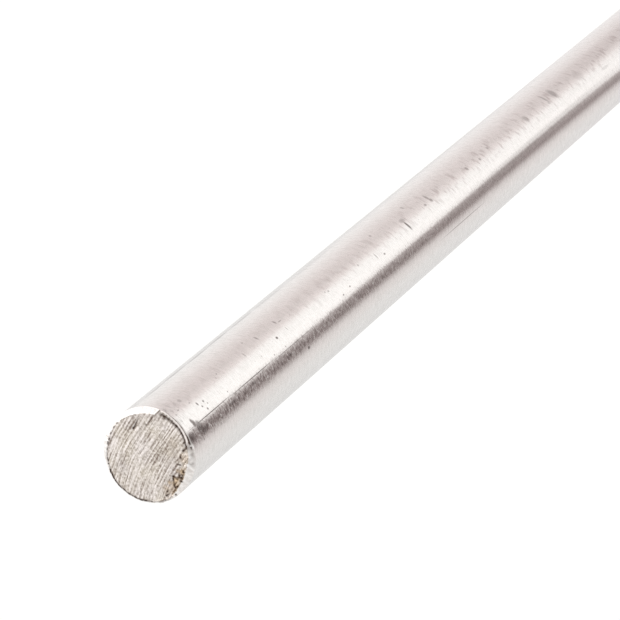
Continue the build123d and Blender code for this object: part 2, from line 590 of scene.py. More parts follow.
# %% [markdown]
# ## One skin round the whole bar
#
# The bar is one piece of metal, so it is one closed mesh. The face at the top needs small cells of
# the same size everywhere, about 0.07 mm, to hold the streaks. A web of rings and spokes would be
# far too fine in the middle and too coarse outside, so a square grid is bent into a disc instead.
# Its border then has one point for each column of the bar's side, and rings carry on from there:
# over the bevels, down the side, round the chamfer and in to the middle of the foot.

# %% A square grid bent into a disc
CELLS = 176  # cells along one side of the square; the bar has four times as many columns
number = np.arange((CELLS + 1) ** 2).reshape(CELLS + 1, CELLS + 1)  # of the grid's points


def disc_grid():
    """Directions and shares of the radius for a square grid bent into a disc."""
    line = np.linspace(-1, 1, CELLS + 1)
    u, v = np.meshgrid(line, line, indexing="ij")
    wide = np.abs(u) > np.abs(v)
    safe_u, safe_v = np.where(u == 0, 1, u), np.where(v == 0, 1, v)
    share = np.where(wide, u, v)
    turn = np.where(wide, math.pi / 4 * v / safe_u, math.pi / 2 - math.pi / 4 * u / safe_v)
    turn = np.where((u == 0) & (v == 0), 0, turn)
    return turn + math.pi * (share < 0), np.abs(share)


direction, share = disc_grid()
# once round against the clock from direction -45
sides = [number[-1, :-1], number[::-1, -1][:-1], number[0, ::-1][:-1], number[:, 0][:-1]]
border = np.concatenate(sides)
columns = direction.ravel()[border]
print(len(border), "columns, the first at", round(math.degrees(columns[0]), 1), "degrees")

# %% [markdown]
# The grid covers the face as far as its edge, and twelve rings cover the bevels. At a step the
# face's edge jumps, so the rings close in on it a little before. Down the side the rings lie
# closer together near the sawn end, where the bar is looked at most.

# %% The skin's points
LIP = 0.03 * MM  # the last broken edge between the top and the side
BAND_RINGS, SIDE_RINGS, CHAMFER_RINGS, FOOT_RINGS = 12, 26, 2, 8
RUN_IN = 12  # degrees before and after a stroke in which the rings close in on its edge


def face_edge(angle):
    """Distance from the axis at which the sawn face ends and the rings begin."""
    edge = RADIUS - 0.2 * MM + 0 * angle
    for stroke in STROKES.values():
        near = along_rim(angle, stroke.first - RUN_IN, stroke.last + RUN_IN, RUN_IN)
        edge = np.minimum(edge, RADIUS + near * (bevel_edge(angle, stroke) - RADIUS))
    return edge - 0.02 * MM


def ring(distance, z):
    return np.stack([distance * np.cos(columns), distance * np.sin(columns), z + 0 * columns], -1)


edge = face_edge(direction)
face_x, face_y = share * edge * np.cos(direction), share * edge * np.sin(direction)
points = [np.stack([face_x, face_y, top_height(face_x, face_y)], -1).reshape(-1, 3)]
finish_of_ring = ["filed"] * (BAND_RINGS + 1) + ["ground"] * SIDE_RINGS
finish_of_ring += ["turned"] * (CHAMFER_RINGS + FOOT_RINGS - 1)

inner = face_edge(columns)
for step in range(1, BAND_RINGS + 1):
    out = inner + (RADIUS - LIP - inner) * step / BAND_RINGS
    points.append(ring(out, top_height(out * np.cos(columns), out * np.sin(columns))))
rim = points[-1][:, 2] - LIP
for step in range(SIDE_RINGS + 1):
    down = (step / SIDE_RINGS) ** 1.5
    points.append(ring(RADIUS + 0 * columns, rim + (FOOT + FOOT_CHAMFER - rim) * down))
for step in range(1, CHAMFER_RINGS + 1):
    cut_off = FOOT_CHAMFER * step / CHAMFER_RINGS
    points.append(ring(RADIUS - cut_off + 0 * columns, FOOT + FOOT_CHAMFER - cut_off))
for step in range(1, FOOT_RINGS):
    points.append(ring((RADIUS - FOOT_CHAMFER) * (1 - step / FOOT_RINGS) + 0 * columns, FOOT))
points.append(np.array([[0, 0, FOOT]]))
everywhere = np.concatenate(points)
print(len(everywhere), "points in", len(finish_of_ring), "rings and the face")

# %% [markdown]
# Four-sided faces join each ring to the next, and a fan closes the foot. Each face also gets the
# number of its finish, so that one closed mesh can carry four materials.

# %% The skin's faces
FINISHES = ["ground", "sawn", "filed", "turned"]
rings = [border] + [
    number.size + n * len(columns) + np.arange(len(columns)) for n in range(len(finish_of_ring))
]
centre = len(everywhere) - 1
corners = [number[:-1, :-1], number[1:, :-1], number[1:, 1:], number[:-1, 1:]]
quads = [np.stack(corners, -1).reshape(-1, 4)]
finish = [np.full(CELLS**2, FINISHES.index("sawn"))]
filed_down = bevel_drop(everywhere[:, 0], everywhere[:, 1]) > 0
for above, below, name in zip(rings[:-1], rings[1:], finish_of_ring):
    quads.append(np.stack([above, below, np.roll(below, -1), np.roll(above, -1)], -1))
    of_face = np.full(len(columns), FINISHES.index(name))
    if name == "filed":  # where the file did not reach, the saw's finish runs on to the rim
        filed_here = filed_down[quads[-1]].mean(axis=1) > 0.5
        of_face = np.where(filed_here, of_face, FINISHES.index("sawn"))
    finish.append(of_face)
last_ring = rings[-1]
fan = np.stack([last_ring, np.full(len(last_ring), centre), np.roll(last_ring, -1)], -1)
finish.append(np.full(len(fan), FINISHES.index("turned")))
quads, finish = np.concatenate(quads), np.concatenate(finish)
print(len(quads), "four-sided faces and", len(fan), "three-sided ones")

# %% [markdown]
# Now Blender makes the mesh. It moves with the bar's body and stands for the solid model's bar.
# A closed mesh has two faces on each edge and a volume near that of the solid, so both are
# printed.

# %% The mesh
skin = bpy.data.meshes.new("round_bar_skin")
skin.from_pydata(everywhere.tolist(), [], quads.tolist() + fan.tolist())
skin.polygons.foreach_set("material_index", finish.astype("int32"))
skin.polygons.foreach_set("use_smooth", np.ones(len(skin.polygons), dtype=bool))
skin.update()
bar = bpy.data.objects.new("round_bar_skin", skin)
bpy.context.scene.collection.objects.link(bar)
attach(bar, "root")
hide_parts("round_bar")

# an edge between two finishes is a real edge of the metal, and is shaded as one
edges = bmesh.new()
edges.from_mesh(skin)
for e in edges.edges:
    e.smooth = len({f.material_index for f in e.link_faces}) == 1
open_edges = sum(len(e.link_faces) != 2 for e in edges.edges)
volume = edges.calc_volume(signed=True)
edges.to_mesh(skin)
edges.free()
print(f"volume {volume / MM**3:.0f} cubic mm, {open_edges} open edges")

# %% [markdown]
# The three numbers for dirt, painted shade and the painted light of the streaks are stored on the
# mesh's points, where a material can read them. A picture wrapped round the bar could hold them
# too, but it would have a seam.

# %% The three numbers for the materials
on_top = everywhere[:, 2] > CUT_CENTRE.z - 2 * MM
x, y = everywhere[:, 0], everywhere[:, 1]
# painted light and shade: ridges, chip tops and the lip are painted brighter as highlights, and
# furrows and holes darker as shade
bright = np.clip(streaks(x, y) + 1.2 * chips(x, y), -1, 1) + 2 * lip(x, y)
for name, values in (("streak_light", bright), ("dirt_and_shade", dirt_and_shade(x, y)), ("stain", stain(x, y))):
    layer = skin.attributes.new(name, "FLOAT", "POINT")
    layer.data.foreach_set("value", np.where(on_top, values, 0).astype("float32"))
    print(f"{name}: {values[on_top].mean():.2f} on average over the top")

# %% [markdown]
# ## Colours and nodes
#
# Colours are written as sRGB hex, the way a paint chart gives them, and one function turns them
# into the linear values that a shader works with. A second small function adds a node, sets it
# and links it, so that a material reads from top to bottom like a recipe. The other two open a
# recipe and close it.


# %% Helpers for materials
def colour(text):
    """A linear colour with alpha from sRGB hex such as 'DBD8D4'."""
    parts = [int(text[i : i + 2], 16) / 255 for i in (0, 2, 4)]
    return [p / 12.92 if p <= 0.04045 else ((p + 0.055) / 1.055) ** 2.4 for p in parts] + [1.0]


def add(tree, kind, inputs=None, **settings):
    """Adds a node. Settings are its own options, and inputs are values or links for its sockets.

    A node among the inputs stands for the first of its outputs that is in use.
    """
    node = tree.nodes.new("ShaderNode" + kind)
    for name, value in settings.items():
        setattr(node, name, value)
    for socket, value in (inputs or {}).items():
        if isinstance(value, bpy.types.Node):
            value = next(output for output in value.outputs if output.enabled)
        if isinstance(value, bpy.types.NodeSocket):
            tree.links.new(value, node.inputs[socket])
        else:
            node.inputs[socket].default_value = value
    return node


def new_material(name):
    material = bpy.data.materials.new(name)
    material.use_nodes = True
    material.node_tree.nodes.clear()
    return material, material.node_tree


def finish_metal(material, look):
    """Ends a metal's recipe with its shader, and gives the metal to the bar."""
    tree = material.node_tree
    shader = add(tree, "BsdfPrincipled", {"Metallic": 1.0, **look})
    add(tree, "OutputMaterial", {"Surface": shader})
    bar.data.materials.append(material)
    print(f"{material.name}: {len(tree.nodes)} nodes")


print("ground steel as a linear colour:", [round(c, 3) for c in colour("DBD8D4")])

# %% [markdown]
# ## Ground stainless steel, for the side
#
# The side was ground on a centreless machine, which turns the bar against a wheel. That leaves
# very fine lines round the bar, and a faint waviness where the bar shook. They give the eye three
# things: a soft grain round the bar, lights that are drawn out along the bar and stay sharp across
# it, and edges of light that are ragged and not ruled.
#
# The long lights come from anisotropy. Its tangent runs round the bar, and a quarter turn of it
# makes the reflection spread along the axis, across the grinding lines. The grain and the
# waviness are noise on the bar's own coordinates, stretched round the bar, so there is no seam.

# %% The grain of the grinding
steel, tree = new_material("stainless steel, ground")
place = add(tree, "TexCoord").outputs["Object"]
height = add(tree, "SeparateXYZ", {"Vector": place}).outputs["Z"]
PER_METRE = 1000  # a pattern's scale is how many of its grains go into a metre
MIDDLE = {"From Min": 0.3, "From Max": 0.7}  # noise rarely leaves this range


def stretched(round_bar, along_bar, detail=2.0):
    """Noise on the bar whose grains are so many mm long round the bar and along it."""
    scale = (PER_METRE / round_bar, PER_METRE / round_bar, PER_METRE / along_bar)
    where = add(tree, "Mapping", {"Vector": place, "Scale": scale})
    return add(tree, "TexNoise", {"Vector": where, "Scale": 1.0, "Detail": detail})


# real grinding lines are about 0.02 mm apart; these are as fine as a whole bar can show
LINE_SPACING = 0.3  # mm
grain = stretched(1.2, LINE_SPACING)
waviness = stretched(2.2, 0.6)
ripple = stretched(1.0, 0.45)
mottle = stretched(1.5, 1.1, 4.0)
specks = stretched(0.45, 0.5)

both_grains = add(tree, "Math", {0: grain, 1: specks}, operation="ADD")
light_grain = add(tree, "MapRange", {"Value": both_grains, "From Min": 0.75, "From Max": 1.25})
dull, clear = colour("D6D3CF"), colour("E0DCD9")
shade = add(tree, "Mix", {"Factor": light_grain, "A": dull, "B": clear}, data_type="RGBA")
print(f"{PER_METRE / LINE_SPACING:.0f} grinding lines in a metre of the bar")

# %% [markdown]
# Bright bar is handled and stacked before it is sold, and there are a few dark pits and short
# scratches on it. Each of them is a small squashed ball in space: where the bar's surface runs
# through it, the steel is dark. A long thin ball makes a scratch along the bar, and a row of them
# makes a faint line. One such row paints shade: a dark line along the bar near its outline.

# %% Pits and scratches
# direction in degrees, mm from the sawn end, mm long round the bar and along it, darkness
MARKS = (
    (-82, 35.3, 0.45, 0.75, 0.9),
    (-118, 41.9, 0.50, 0.90, 0.8),
    (-109, 35.7, 0.35, 0.50, 0.7),
    (-96, 31.6, 0.25, 0.40, 0.6),
    (-68, 16.7, 0.25, 0.35, 0.6),
    (-93, 15.1, 0.30, 0.35, 0.6),
    (-81, 7.0, 0.62, 0.45, 0.8),
    (-83, 8.6, 0.35, 0.50, 0.75),
    (-87, 7.5, 0.35, 0.40, 0.8),
    (-93, 8.2, 0.40, 0.50, 0.75),
    (-64, 38.6, 0.65, 0.25, 0.6),
    (-68, 39.8, 0.20, 1.30, 0.5),
    (-66, 31.8, 0.95, 0.20, 0.5),
    (-81, 39.2, 0.75, 0.22, 0.5),
    (-58, 28.5, 0.30, 0.50, 0.5),
    (-119, 3.8, 0.30, 0.30, 0.6),
    # the largest dent, with a tail, and what lies further down
    (-80, 89.7, 2.00, 0.70, 0.9),
    (-70, 89.8, 0.90, 2.20, 0.36),
    (-55, 94.3, 0.80, 0.80, 0.42),
    (-74, 102.0, 0.80, 1.10, 0.55),
    (-89, 77.3, 0.38, 0.80, 0.7),
    (-57, 79.6, 0.50, 0.70, 0.42),
    (-84, 74.7, 1.30, 0.40, 0.5),
    (-92, 62.0, 0.30, 0.60, 0.7),
    (-95, 58.8, 0.30, 0.60, 0.7),
    (-127, 108.5, 0.16, 22.0, 0.60),
    (-68, 165.8, 2.60, 2.40, 0.50),
    (-72, 150.0, 1.60, 1.90, 0.40),
    (-67, 161.8, 2.60, 0.90, 0.40),
    (-72, 179.0, 2.40, 4.60, 0.15),
    (-68, 131.0, 0.60, 1.10, 0.35),
    # one faint dark line along the bar, painted shade near the bar's outline, which fades further
    # down, and a wide band on the other side
    (-21.4, 8.0, 0.55, 7.0, 0.30),
    (-20.8, 15.0, 0.55, 9.0, 0.38),
    (-22.0, 22.5, 0.60, 9.0, 0.42),
    (-21.0, 30.0, 0.60, 9.0, 0.40),
    (-21.8, 38.0, 0.60, 10.0, 0.34),
    (-22.3, 48.0, 0.80, 14.0, 0.22),
    (-23.3, 64.0, 1.00, 22.0, 0.14),
    (-104, 150.0, 1.30, 90.0, 0.22),
    # a scratch along the bar, the scuffs where it meets the sawn end, and dull spots beside it
    (-98.6, 8.0, 0.16, 17.0, 0.85),
    (-99.6, 23.0, 0.16, 18.0, 0.80),
    (-101, 38.0, 0.13, 18.0, 0.60),
    (-92, 2.8, 0.90, 0.70, 0.8),
    (-96, 3.0, 1.20, 1.00, 0.85),
    (-99, 3.7, 1.10, 1.50, 0.65),
    (-103, 3.9, 1.60, 2.20, 0.55),
    (-109, 4.6, 1.20, 2.60, 0.45),
    (-107, 0.6, 1.50, 2.40, 0.55),
    (-108, 5.6, 0.60, 1.60, 0.5),
    (-107, 14.5, 0.50, 2.60, 0.4),
    (-106, 22.5, 0.50, 1.80, 0.4),
    (-109, 35.5, 0.50, 2.20, 0.4),
    # faint ones
    (-64, 5.0, 0.70, 0.90, 0.3),
    (-85, 1.0, 0.25, 0.40, 0.4),
    (-75, 1.3, 0.25, 0.40, 0.5),
    (-72, 2.6, 0.25, 0.60, 0.5),
    (-88, 9.1, 0.30, 0.35, 0.6),
    (-74, 5.9, 0.25, 0.40, 0.5),
    (-72, 25.6, 0.90, 0.30, 0.5),
    (-65, 31.6, 0.90, 0.35, 0.5),
    (-65, 38.7, 0.75, 0.45, 0.6),
    (-97, 35.6, 0.25, 0.50, 0.5),
    (-87, 28.5, 0.20, 0.50, 0.3),
    (-79, 56.1, 0.35, 0.60, 0.5),
    (-77, 55.2, 0.30, 0.50, 0.4),
    (-78, 68.6, 0.40, 0.60, 0.4),
    (-74, 99.3, 0.50, 1.00, 0.5),
    (-67, 101.8, 1.60, 0.90, 0.4),
    (-72, 119.5, 0.90, 1.00, 0.5),
    (-74, 125.5, 0.60, 0.90, 0.5),
    (-76, 161.5, 0.70, 1.30, 0.3),
    (-90, 190.0, 0.60, 4.60, 0.2),
)
MARK_DEPTH = 0.4 * MM
marked = None
for degrees, from_end, round_bar, along_bar, darkness in MARKS:
    turn, z = math.radians(degrees), CUT_CENTRE.z - from_end * MM
    ball = {
        "Location": (RADIUS * math.cos(turn), RADIUS * math.sin(turn), z),
        "Rotation": (0, 0, turn),
        "Scale": (MARK_DEPTH, round_bar / 2 * MM, along_bar / 2 * MM),
    }
    inside = add(tree, "Mapping", {"Vector": place, **ball}, vector_type="TEXTURE")
    away = add(tree, "VectorMath", {0: inside}, operation="LENGTH")
    fade = {"From Min": 0.5, "From Max": 1.1, "To Min": darkness, "To Max": 0.0}
    dark = add(tree, "MapRange", {"Value": away, **fade})
    if marked:
        dark = add(tree, "Math", {0: marked, 1: dark}, operation="MAXIMUM")
    marked = dark
print(len(MARKS), "pits and scratches")

# %% [markdown]
# Hands left thin smudges on the side that was touched. They are noise again, held to one side and
# to one stretch of the bar by two soft masks. Near the sawn end the same side is scuffed, and
# further down it is clouded.

# %% Smudges
# each side's direction in degrees, and the cosines between which its mask rises
HANDLED_SIDE, CLOUDED_SIDE = (-71, 0.93, 0.99), (-62, 0.955, 0.99)


def on_side(degrees, from_cosine, to_cosine, least=0.0):
    """A mask of one side of the bar. It rises between two cosines of the angle to that side."""
    turn = math.radians(degrees)
    toward = (math.cos(turn) / RADIUS, math.sin(turn) / RADIUS, 0)
    facing = add(tree, "VectorMath", {0: place, 1: toward}, operation="DOT_PRODUCT")
    cosines = {"From Min": from_cosine, "From Max": to_cosine, "To Min": least}
    return add(tree, "MapRange", {"Value": facing, **cosines})


def down_the_bar(far, at_far, near, at_near):
    """A fade along the bar between two distances in mm from the sawn end."""
    stretch = {"From Min": CUT_CENTRE.z - far * MM, "From Max": CUT_CENTRE.z - near * MM}
    return add(tree, "MapRange", {"Value": height, **stretch, "To Min": at_far, "To Max": at_near})


handled = on_side(*HANDLED_SIDE, least=0.1)
smudge = add(tree, "MapRange", {"Value": mottle, "From Min": 0.52, "From Max": 0.70, "To Max": 0.6})
smudged = add(tree, "Math", {0: smudge, 1: handled}, operation="MULTIPLY")
lower_down = down_the_bar(110, 1.0, 40, 0.35)
smudged = add(tree, "Math", {0: smudged, 1: lower_down}, operation="MULTIPLY")
dulled, near_foot = on_side(*CLOUDED_SIDE), down_the_bar(190, 0.22, 135, 0.0)
smudged = add(tree, "Math", {0: dulled, 1: near_foot, 2: smudged}, operation="MULTIPLY_ADD")
film = colour("A89D9A")
clouded = add(tree, "Mix", {"Factor": smudged, "A": shade, "B": film}, data_type="RGBA")

speck = add(tree, "MapRange", {"Value": specks, "From Min": 0.68, "From Max": 0.78, "To Max": 0.5})
rubbed = add(tree, "MapRange", {"Value": ripple, "From Min": 0.5, "From Max": 0.62})
scuff = add(tree, "Math", {0: down_the_bar(5, 0.0, 0, 0.4), 1: rubbed}, operation="MULTIPLY")
scuff = add(tree, "Math", {0: scuff, 1: speck}, operation="MAXIMUM")
scuff = add(tree, "Math", {0: scuff, 1: handled}, operation="MULTIPLY")
wear_and_shade = add(tree, "Math", {0: marked, 1: scuff}, operation="MAXIMUM")
# the colour of the pits and scratches, and of the faint line of painted shade
grime_and_shade = colour("4E423D")
shade = add(tree, "Mix", {"Factor": wear_and_shade, "A": clouded, "B": grime_and_shade}, data_type="RGBA")
reach = math.degrees(math.acos(HANDLED_SIDE[1]))
print(f"smudges within {reach:.0f} degrees of direction {HANDLED_SIDE[0]}")

# %% [markdown]
# Beside the long clear light the bar is scratched by the grinding: tiny dots there are duller or
# darker than the steel round them. The same two masks hold them to that side.

# %% Scratched side
SCRATCHED_SIDE = (-108, 0.975, 0.992)
near_it, nearer_end = on_side(*SCRATCHED_SIDE), down_the_bar(150, 0.3, 10, 1.0)
scratched = add(tree, "Math", {0: near_it, 1: nearer_end}, operation="MULTIPLY")
dots = stretched(0.45, 0.40)
dark_dots = {"From Min": 0.50, "From Max": 0.32, "To Max": 0.65}
dark_dots = add(tree, "MapRange", {"Value": dots, **dark_dots})
dark_dots = add(tree, "Math", {0: dark_dots, 1: scratched}, operation="MULTIPLY")
scratch = colour("5E524D")
shade = add(tree, "Mix", {"Factor": dark_dots, "A": shade, "B": scratch}, data_type="RGBA")
dull_dots = {"From Min": 0.52, "From Max": 0.70, "To Max": 0.35}
dull_dots = add(tree, "MapRange", {"Value": dots, **dull_dots})
dull_dots = add(tree, "Math", {0: dull_dots, 1: scratched}, operation="MULTIPLY")
reach = math.degrees(math.acos(SCRATCHED_SIDE[1]))
print(f"scratched within {reach:.0f} degrees of direction {SCRATCHED_SIDE[0]}")

# %% [markdown]
# Ground steel is a metal with a roughness of 0.1 to 0.2. The waviness, the ripple and the grain
# are so low that bump is enough for them: 15, 14 and 2 thousandths of a millimetre.

# %% The shine of the side
bump = None
for pattern, micrometres in ((waviness, 15), (ripple, 14), (grain, 2)):
    relief = {"Height": pattern, "Strength": 1.0, "Distance": micrometres / 1e6}
    bump = add(tree, "Bump", relief if bump is None else {**relief, "Normal": bump})
gloss = add(tree, "MapRange", {"Value": grain, **MIDDLE, "To Min": 0.19, "To Max": 0.12})
gloss = add(tree, "Math", {0: gloss, 1: dull_dots}, operation="ADD")
tangent = add(tree, "Tangent", direction_type="RADIAL", axis="Z")
look = {"Base Color": shade, "Roughness": gloss, "Normal": bump, "Tangent": tangent}
finish_metal(steel, {**look, "Anisotropic": 0.9, "Anisotropic Rotation": 0.25})

# %% [markdown]
# ## Sawn stainless steel, for the face
#
# A saw tears the metal and does not polish it. Its streaks give the eye a bright ridge beside a
# dull, darker furrow, and between them the metal is broken into tiny bright and dark pits. So the
# colour follows the streak that the mesh carries, with painted highlight on the ridges and painted
# shade in the furrows, and so does the roughness, which is higher than on the ground side. Dirt and
# painted shade lie over all of it.
#
# The mesh's cells are too wide for the finest lines, so the material adds those by itself, along
# the same arcs: it bends its coordinates as the saw's were bent.

# %% Coordinates along the saw's arcs
sawn, tree = new_material("stainless steel, sawn")
place = add(tree, "TexCoord").outputs["Object"]
turned_in = {"Rotation": (0, 0, STREAK_DIRECTION), "Scale": (MM, MM, MM)}
turned_in = add(tree, "Mapping", {"Vector": place, **turned_in}, vector_type="TEXTURE")
parts = add(tree, "SeparateXYZ", {"Vector": turned_in})
along, across = parts.outputs["X"], parts.outputs["Y"]
came_in = add(tree, "Math", {0: along, 1: 0.0}, operation="MINIMUM")
for run, bend in ((along, GENTLE_BEND), (came_in, TIGHT_BEND - GENTLE_BEND)):
    squared = add(tree, "Math", {0: run, 1: run}, operation="MULTIPLY")
    across = add(tree, "Math", {0: squared, 1: bend, 2: across}, operation="MULTIPLY_ADD")
unbent = add(tree, "CombineXYZ", {"X": along, "Y": across, "Z": 0.0})
FINE_LENGTH, FINE_WIDTH = 3, 0.14  # mm; the finest real ones are too narrow to show
fine_at = add(tree, "Mapping", {"Vector": unbent, "Scale": (1 / FINE_LENGTH, 1 / FINE_WIDTH, 1)})
print(f"fine lines {FINE_WIDTH} mm wide, and the saw's own {STREAK_PITCH} mm apart")

# %% [markdown]
# The streaks, the fine lines and the pits are added up to one number. Above nought the colour
# goes over to the pale painted highlight of the ridges, and below nought to the brown painted shade
# of the furrows.

# %% Sawn stainless steel
# the streak's painted light and shade, as the mesh carries it
streak_light = add(tree, "Attribute", attribute_name="streak_light").outputs["Fac"]
fine = {"Vector": fine_at, "Scale": 1.0, "Detail": 2.0, "Roughness": 0.6}
fine = add(tree, "TexNoise", fine)
fine = add(tree, "MapRange", {"Value": fine, **MIDDLE, "To Min": -0.5, "To Max": 0.5})
streak_light = add(tree, "Math", {0: streak_light, 1: 0.74, 2: fine}, operation="MULTIPLY_ADD")
# pits of 0.25 mm, warm patches of 3 mm, and grit of 0.1 mm
pits = add(tree, "TexNoise", {"Vector": place, "Scale": 4000.0, "Detail": 1.0})
pits = add(tree, "MapRange", {"Value": pits, **MIDDLE, "To Min": -0.36, "To Max": 0.36})
streak_light = add(tree, "Math", {0: streak_light, 1: pits}, operation="ADD")
patches = add(tree, "TexNoise", {"Vector": place, "Scale": 350.0, "Detail": 3.0})
grit = add(tree, "TexNoise", {"Vector": place, "Scale": 9000.0, "Detail": 2.0})

warm = add(tree, "MapRange", {"Value": patches, "From Min": 0.35, "From Max": 0.65})
cool_steel, warm_steel = colour("CBC3BE"), colour("CBC2B6")
shade = add(tree, "Mix", {"Factor": warm, "A": cool_steel, "B": warm_steel}, data_type="RGBA")
# painted highlight on the ridges, then painted shade in the furrows
for furthest, tint in ((0.8, colour("F4ECE7")), (-0.8, colour("86786F"))):  # ridges, then furrows
    share = add(tree, "MapRange", {"Value": streak_light, "From Min": 0.0, "From Max": furthest})
    shade = add(tree, "Mix", {"Factor": share, "A": shade, "B": tint}, data_type="RGBA")


def stained_and_shaded(tree, shade):
    """A metal's colour under the brown oil stain, and under the black that the mesh carries: dirt
    and painted shade.
    """
    # the brown layer is a real oil stain; the black one is dirt and painted shade
    for layer, tint, blend in (("stain", "D9C8B0", "MULTIPLY"), ("dirt_and_shade", "3A2920", "MIX")):
        amount = add(tree, "Attribute", attribute_name=layer).outputs["Fac"]
        layers = {"Factor": amount, "A": shade, "B": colour(tint)}
        shade = add(tree, "Mix", layers, data_type="RGBA", blend_type=blend)
    return shade


bump = add(tree, "Bump", {"Height": grit, "Strength": 0.5, "Distance": 0.01 * MM})
roughness = {"From Min": -1.0, "From Max": 1.0, "To Min": 0.45, "To Max": 0.25}
gloss = add(tree, "MapRange", {"Value": streak_light, **roughness})
finish_metal(sawn, {"Base Color": stained_and_shaded(tree, shade), "Roughness": gloss, "Normal": bump})

# %% [markdown]
# ## Filed stainless steel, for the bevels
#
# A file cuts clean. Its bevels give the eye bright, nearly white metal, with faint lines where the
# teeth ran over the edge: here about 0.4 mm apart and 2 mm long. The same dirt and painted shade
# lie on it.

# %% Filed stainless steel
filed, tree = new_material("stainless steel, filed")
place = add(tree, "TexCoord").outputs["Object"]
FILE_DIRECTION = math.radians(35)
teeth = {"Rotation": (0, 0, FILE_DIRECTION), "Scale": (500, 2600, 900)}
teeth = add(tree, "Mapping", {"Vector": place, **teeth})
lines = add(tree, "TexNoise", {"Vector": teeth, "Scale": 1.0, "Detail": 3.0})
high = add(tree, "MapRange", {"Value": lines, **MIDDLE})
dull, clear = colour("E2DBD6"), colour("FAF7F4")
shade = add(tree, "Mix", {"Factor": high, "A": dull, "B": clear}, data_type="RGBA")
bump = add(tree, "Bump", {"Height": lines, "Strength": 1.0, "Distance": 0.01 * MM})
finish_metal(filed, {"Base Color": stained_and_shaded(tree, shade), "Roughness": 0.25, "Normal": bump})

# %% [markdown]
# ## Turned stainless steel, for the foot
#
# The square end was faced in a lathe. The tool leaves rings round the axis, 0.2 mm apart, and they
# give the eye a fine shimmer that turns with the light.

# %% Turned stainless steel
turned, tree = new_material("stainless steel, turned")
place = add(tree, "TexCoord").outputs["Object"]
tool = {"Vector": place, "Scale": 1600.0, "Distortion": 0.4}  # 2 pi / (20 * 1600) m is 0.2 mm
tool = add(tree, "TexWave", tool, wave_type="RINGS", rings_direction="Z").outputs["Fac"]
dull, clear = colour("C4C0BC"), colour("E4E1DE")
shade = add(tree, "Mix", {"Factor": tool, "A": dull, "B": clear}, data_type="RGBA")
bump = add(tree, "Bump", {"Height": tool, "Strength": 1.0, "Distance": 0.01 * MM})
finish_metal(turned, {"Base Color": shade, "Roughness": 0.25, "Normal": bump})

# %% [markdown]
# ## The studio
#
# A plain pale floor, a white room and one large softbox. The floor is matt white paper. Seen by
# the camera and in the metal it is lifted a little, so that it reads as white and still keeps the
# bar's shadow.


# %% Floor
def new_stage(name, points, faces, material):
    """A mesh that is part of the studio and not of the bar."""
    mesh = bpy.data.meshes.new(name)
    mesh.from_pydata(points, [], faces)
    mesh.materials.append(material)
    thing = bpy.data.objects.new(name, mesh)
    bpy.context.scene.collection.objects.link(thing)
    return thing


def seen_rays(tree):
    """One for a ray from the camera or from a shiny surface, and nothing for light itself."""
    rays = add(tree, "LightPath").outputs
    either = {0: rays["Is Camera Ray"], 1: rays["Is Glossy Ray"]}
    return add(tree, "Math", either, operation="MAXIMUM")


def circle(radius, height, count):
    """Points on a circle round the bar's axis, the first towards +X."""
    around = np.linspace(0, 2 * math.pi, count + 1)[:-1]
    return [(radius * math.cos(turn), radius * math.sin(turn), height) for turn in around]


FLOOR_RADIUS, FLOOR_CORNERS = 3, 96
LIFT = 0.25
paper, tree = new_material("white paper")
matt = add(tree, "BsdfDiffuse", {"Color": colour("EEEDEB")})
lift = add(tree, "Emission", {"Color": (1, 1, 1, 1), "Strength": LIFT})
both = add(tree, "AddShader", {0: matt, 1: lift})
pick = add(tree, "MixShader", {0: seen_rays(tree), 1: matt, 2: both})
add(tree, "OutputMaterial", {"Surface": pick})
new_stage("floor", circle(FLOOR_RADIUS, FOOT, FLOOR_CORNERS), [list(range(FLOOR_CORNERS))], paper)
print(f"floor {2 * FLOOR_RADIUS} m across")

# %% [markdown]
# A bright bar shows the room more than itself, so a studio lays boards round it: a white one in
# front gives the long clear light, a narrow dark one beside it gives the line that shows that the
# bar is round, and a warm one keeps the far side from going grey. Here they are one flat ring on
# the floor, whose brightness changes with the direction, and only the metal sees it. A line down
# the bar's side mirrors one direction of the ring, so each board becomes a straight band.

# %% The ring of boards
BOARDS_GAP, BOARDS_REACH = RADIUS + 2 * MM, 1.5  # inner and outer radius in metres
BOARDS_CENTRE = (-13.5 * MM, 3.5 * MM, 0)  # the boards meet beside the foot, not under it
BOARDS_HEIGHT = FOOT + 0.4 * MM  # just clear of the floor
BOARDS_CORNERS = 72
BRIGHTEST = 1.5
card, tree = new_material("boards on the floor")
ring_points = circle(BOARDS_GAP, BOARDS_HEIGHT, BOARDS_CORNERS)
ring_points += circle(BOARDS_REACH, BOARDS_HEIGHT, BOARDS_CORNERS)
this = np.arange(BOARDS_CORNERS)
after = np.roll(this, -1)
ring_faces = np.stack([this, after, after + BOARDS_CORNERS, this + BOARDS_CORNERS], -1).tolist()
boards = new_stage("boards", ring_points, ring_faces, card)
boards.visible_camera = boards.visible_diffuse = boards.visible_shadow = False
boards.visible_transmission = boards.visible_volume_scatter = False
place = add(tree, "TexCoord").outputs["Object"]
from_centre = {"Vector": place, "Location": BOARDS_CENTRE}
from_centre = add(tree, "Mapping", from_centre, vector_type="TEXTURE")
print(f"boards from {BOARDS_GAP / MM:.0f} mm to {BOARDS_REACH} m from the axis")

# %% [markdown]
# One colour ramp round the foot holds all the boards. Separate boards could do it too, but soft
# changes from one to the next are what the metal shows, and a ramp makes those by itself.

